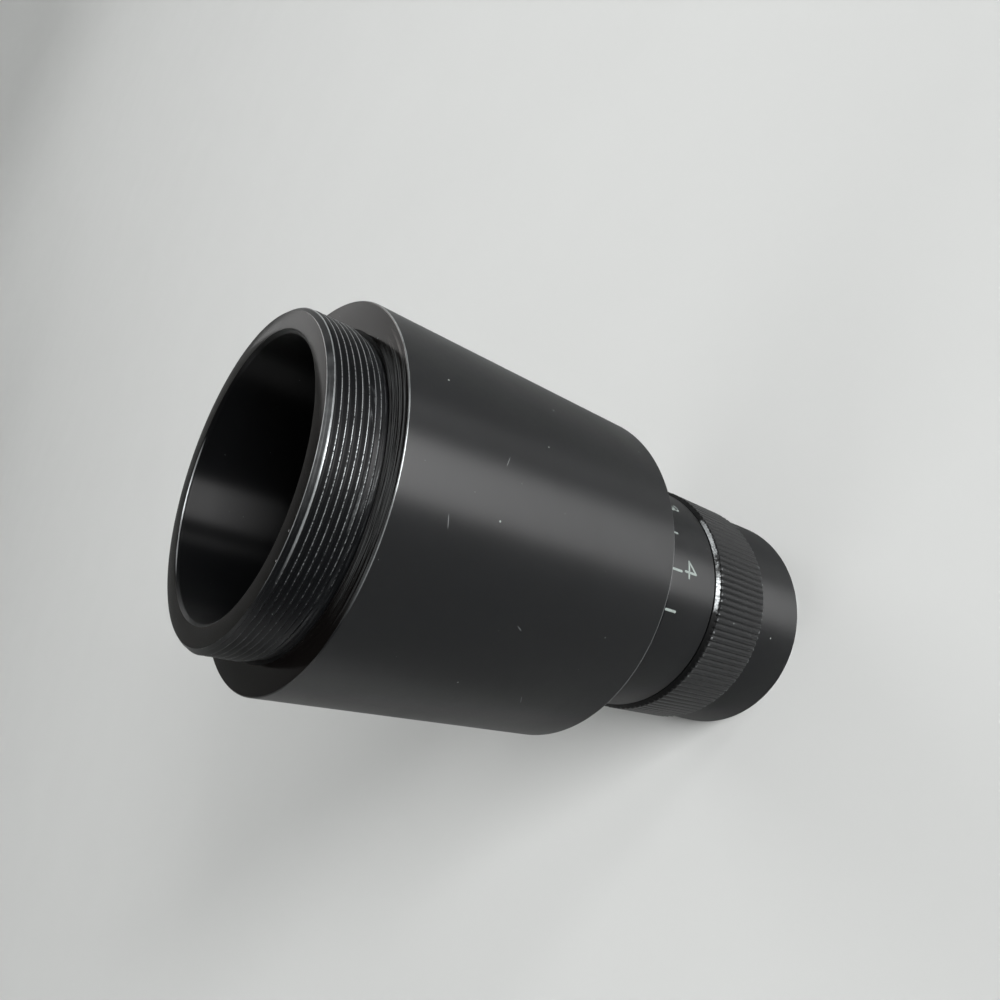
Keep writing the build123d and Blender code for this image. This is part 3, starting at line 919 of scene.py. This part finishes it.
def scale_lines(scale):
    """Every tick and number of the scale as lines on the band, unrolled."""
    lines = []
    size = scale.numeral_height / MM / NUMERAL_STANDARD
    tick_top = RING_TOP - BAND_CHAMFER
    foot = RING_TOP - NUMERAL_FOOT
    for number in range(1, scale.rest_reading + 1):
        numbered = scale.reading_direction + 2 * (scale.rest_reading - number) * scale.step
        for direction in (numbered, numbered - scale.step):
            around = direction * NECK_RADIUS
            lines.append([(around, tick_top), (around, tick_top - scale.tick_length / MM)])
        for strokes in NUMERALS[number]:
            around = numbered * NECK_RADIUS
            lines.append([(around - x * size, foot - y * size) for x, y in strokes])
    return lines


# Lamps, backdrop and camera

# The floor lies this far below the nose's face
FLOOR_GAP = 0.02


def softbox(name, azimuth, elevation, distance, width, height, power):
    """A rectangular lamp that looks at the middle of the objective; angles in degrees."""
    middle = (cad_box[0] + cad_box[1]) / 2
    a, e = math.radians(azimuth), math.radians(elevation)
    outwards = Vector((math.cos(e) * math.cos(a), math.cos(e) * math.sin(a), math.sin(e)))
    light = bpy.data.lights.new(name, "AREA")
    light.shape = "RECTANGLE"
    light.size = width
    light.size_y = height
    light.energy = power
    lamp = bpy.data.objects.new(name, light)
    turn = outwards.to_track_quat("Z", "Y").to_matrix().to_4x4()
    lamp.matrix_world = Matrix.Translation(middle + outwards * distance) @ turn
    lamp.visible_camera = False
    bpy.context.scene.collection.objects.link(lamp)


def backdrop(stage):
    """A floor that curves up into a wall all round, with a painted glow that makes the wall behind the main
    lamp pale, and the room's light.
    """
    flat, bend, wall = 1500, 2000, 500
    outline = [(0.001, 0), (flat, 0)]
    for step in range(1, 17):
        a = math.pi / 2 * step / 16
        outline.append((flat + bend * math.sin(a), bend * (1 - math.cos(a))))
    outline.append((flat + bend, bend + wall))
    count = 96
    points = []
    for radius, height in outline:
        for direction in evenly(count):
            points.append((radius * math.cos(direction), radius * math.sin(direction), height - FLOOR_GAP))
    faces = []
    for row in range(len(outline) - 1):
        for step in range(count):
            ahead = (step + 1) % count
            lower, upper = row * count, (row + 1) * count
            faces.append((lower + step, lower + ahead, upper + ahead, upper + step))
    mesh = bpy.data.meshes.new("backdrop")
    mesh.from_pydata((np.array(points) * MM).tolist(), [], faces)
    finish = Finish("backdrop")
    grain = finish.noise(finish.point, 0.02, 3.0)
    floor = tuple(stage.floor)
    shade = finish.blend(grain, scaled(floor, 0.98), scaled(floor, 1.02))
    ray = finish.node("ShaderNodeLightPath", {}, {}, "Is Camera Ray")
    seen = ray.most(ray.other("Is Glossy Ray")).most(ray.other("Is Transmission Ray"))
    # The wall behind the key lamp glows for camera, glossy and transmission rays: painted light where no
    # lamp falls
    painted_glow_behind_key = finish.radius.between(1800.0, 2500.0) * side(finish, -60, 115)
    glow = finish.blend(painted_glow_behind_key * seen, (0, 0, 0), (1, 1, 1))
    inputs = {"Base Color": shade, "Roughness": 0.7, "Emission Color": glow, "Emission Strength": 0.6}
    sheet = show("backdrop", mesh, [finish.shader(inputs)])
    world = bpy.data.worlds.new("room")
    world.use_nodes = True
    light = world.node_tree.nodes["Background"].inputs
    light["Color"].default_value = (1, 1, 1, 1)
    light["Strength"].default_value = stage.world
    bpy.context.scene.world = world


def camera():
    """The camera stands where the photo was taken from."""
    forward = Vector((0.06825, 0.80113, -0.59458))
    up = Vector((0.95249, 0.12500, 0.27776))
    right = forward.cross(up)
    turn = Matrix((right, up, -forward)).transposed().to_4x4()
    lens = bpy.data.cameras.new("camera")
    lens.lens = 27.75
    lens.sensor_width = 36
    lens.clip_start = 0.005
    lens.clip_end = 10
    view = bpy.data.objects.new("camera", lens)
    view.matrix_world = Matrix.Translation(Vector((0, -84.006, 112.857)) * MM) @ turn
    bpy.context.scene.collection.objects.link(view)
    bpy.context.scene.camera = view


# Operators


class MakeBarrel(bpy.types.Operator):
    """Make the barrel with its cut thread, rounded edges and bore"""

    bl_idname = "objective.barrel"
    bl_label = "Barrel"

    def execute(self, context):
        barrel(context.scene.objective_finish)
        return {"FINISHED"}


class MakeTube(bpy.types.Operator):
    """Finish the tube that shows as the neck, and the drive screw"""

    bl_idname = "objective.tube"
    bl_label = "Tube and screw"

    def execute(self, context):
        colours = context.scene.objective_finish
        dress(black_metal("tube_black", colours, tuple(colours.black), 0.43, 0.98, None, 0.7), "lens_tube")
        dress(machined_metal("blued_steel", (0.035, 0.04, 0.055), 0.32), "drive_screw")
        return {"FINISHED"}


class MakeControlRing(bpy.types.Operator):
    """Make the ring with its straight knurl and scale band"""

    bl_idname = "objective.control_ring"
    bl_label = "Control ring"

    def execute(self, context):
        control_ring(context.scene.objective_knurl, context.scene.objective_finish)
        return {"FINISHED"}


class MakeMarks(bpy.types.Operator):
    """Make the painted ticks, numbers and index line"""

    bl_idname = "objective.marks"
    bl_label = "Scale and index line"

    def execute(self, context):
        scale = context.scene.objective_scale
        width = scale.line_width / MM
        paint = engraving_paint(context.scene.objective_finish)
        turning = show("scale_marks", marks("scale_marks", scale_lines(scale), width, 3), [paint])
        hand_over(turning, "control_body", "black_ring")
        around = scale.reading_direction * NECK_RADIUS
        line = [(around, RING_TOP + 0.35), (around, RING_TOP + 2.65)]
        fixed = show("index_line", marks("index_line", [line], width, 4), [paint])
        hand_over(fixed, "tube_body", "black_tube")
        return {"FINISHED"}


class MakeNoseRing(bpy.types.Operator):
    """Make the smooth ring at the nose"""

    bl_idname = "objective.nose_ring"
    bl_label = "Nose ring"

    def execute(self, context):
        colours = context.scene.objective_finish
        corners = [
            (NOSE_MOUTH_RADIUS, NOSE_BOTTOM, 0, 0.1),
            (NOSE_RADIUS - NOSE_CHAMFER, NOSE_BOTTOM, 0, 0.12),
            (NOSE_RADIUS, NOSE_BOTTOM + NOSE_CHAMFER, 0, 0.12),
            (NECK_RADIUS, NOSE_TOP - BAND_CHAMFER, 0, 0.07),
            (NECK_RADIUS - BAND_CHAMFER, NOSE_TOP, 0, 0.07),
            (NOSE_BORE, NOSE_TOP, 0, 0),
            (NOSE_BORE, NOSE_LIP, 0, 0),
            (NOSE_LIP_RADIUS, NOSE_LIP, 0, 0),
        ]
        mesh = turned_mesh("nose_ring", softened(corners), evenly(256))
        black = black_metal("nose_black", colours, tuple(colours.black), 0.45, 0.95, nose_edges)
        hand_over(show("nose_ring_skin", mesh, [black]), "tube_body", "black_nose", "nose_ring")
        return {"FINISHED"}


class MakeOptics(bpy.types.Operator):
    """Finish the lenses, their cells and rings"""

    bl_idname = "objective.optics"
    bl_label = "Lenses and cells"

    def execute(self, context):
        glass = coated_glass()
        dress(glass, "front_crown_lens", "front_flint_lens", "rear_crown_lens", "rear_flint_lens")
        matt = machined_metal("matt_black", (0.018, 0.018, 0.019), 0.6, 0.4, 0.0)
        dress(matt, "front_cell", "rear_cell", "front_lens_ring", "rear_lens_ring", "iris_retaining_ring")
        return {"FINISHED"}


class MakeIris(bpy.types.Operator):
    """Finish the iris leaves, their seat and drive ring"""

    bl_idname = "objective.iris"
    bl_label = "Iris"

    def execute(self, context):
        leaves = [name for name in nodes if name.startswith("iris_leaf")]
        dress(machined_metal("leaf_steel", (0.10, 0.105, 0.115), 0.38, 0.5), *leaves)
        dress(machined_metal("iris_brass", (0.30, 0.21, 0.09), 0.42, 0.6), "iris_seat", "iris_drive_ring")
        return {"FINISHED"}


class MakeStage(bpy.types.Operator):
    """Set the floor, the lamps and the camera"""

    bl_idname = "objective.stage"
    bl_label = "Stage"

    def execute(self, context):
        stage = context.scene.objective_stage
        backdrop(stage)
        softbox("key_lamp", -60, 16, 2.0, 1.12, 0.68, stage.key_power)
        softbox("side_lamp", -27, 20, 2.0, 0.24, 0.70, stage.side_power)
        softbox("back_lamp", 66, 30, 2.0, 1.0, 0.9, stage.back_power)
        softbox("rear_lamp", 170, 25, 2.0, 0.9, 0.8, stage.rear_power)
        camera()
        context.scene.view_settings.view_transform = "Standard"
        return {"FINISHED"}


OPERATORS = [
    MakeBarrel,
    MakeTube,
    MakeControlRing,
    MakeMarks,
    MakeNoseRing,
    MakeOptics,
    MakeIris,
    MakeStage,
]


class ObjectivePanel(bpy.types.Panel):
    """Lists what makes the objective, and its settings"""

    bl_idname = "VIEW3D_PT_objective"
    bl_label = "Microscope objective"
    bl_space_type = "VIEW_3D"
    bl_region_type = "UI"
    bl_category = "Objective"

    def draw(self, context):
        for operator in OPERATORS:
            self.layout.operator(operator.bl_idname)
        for name, group in SETTINGS.items():
            column = self.layout.box().column()
            column.label(text=group.__doc__.splitlines()[0])
            for setting in group.__annotations__:
                column.prop(getattr(context.scene, name), setting)


def register():
    for name, group in SETTINGS.items():
        bpy.utils.register_class(group)
        setattr(bpy.types.Scene, name, PointerProperty(type=group))
    for kind in (*OPERATORS, ObjectivePanel):
        bpy.utils.register_class(kind)


def unregister():
    for kind in reversed((*OPERATORS, ObjectivePanel)):
        bpy.utils.unregister_class(kind)
    for name, group in reversed(SETTINGS.items()):
        delattr(bpy.types.Scene, name)
        bpy.utils.unregister_class(group)


def main():
    register()
    bpy.ops.objective.barrel()
    bpy.ops.objective.tube()
    bpy.ops.objective.control_ring()
    bpy.ops.objective.marks()
    bpy.ops.objective.nose_ring()
    bpy.ops.objective.optics()
    bpy.ops.objective.iris()
    bpy.ops.objective.stage()


if __name__ == "__main__":
    main()
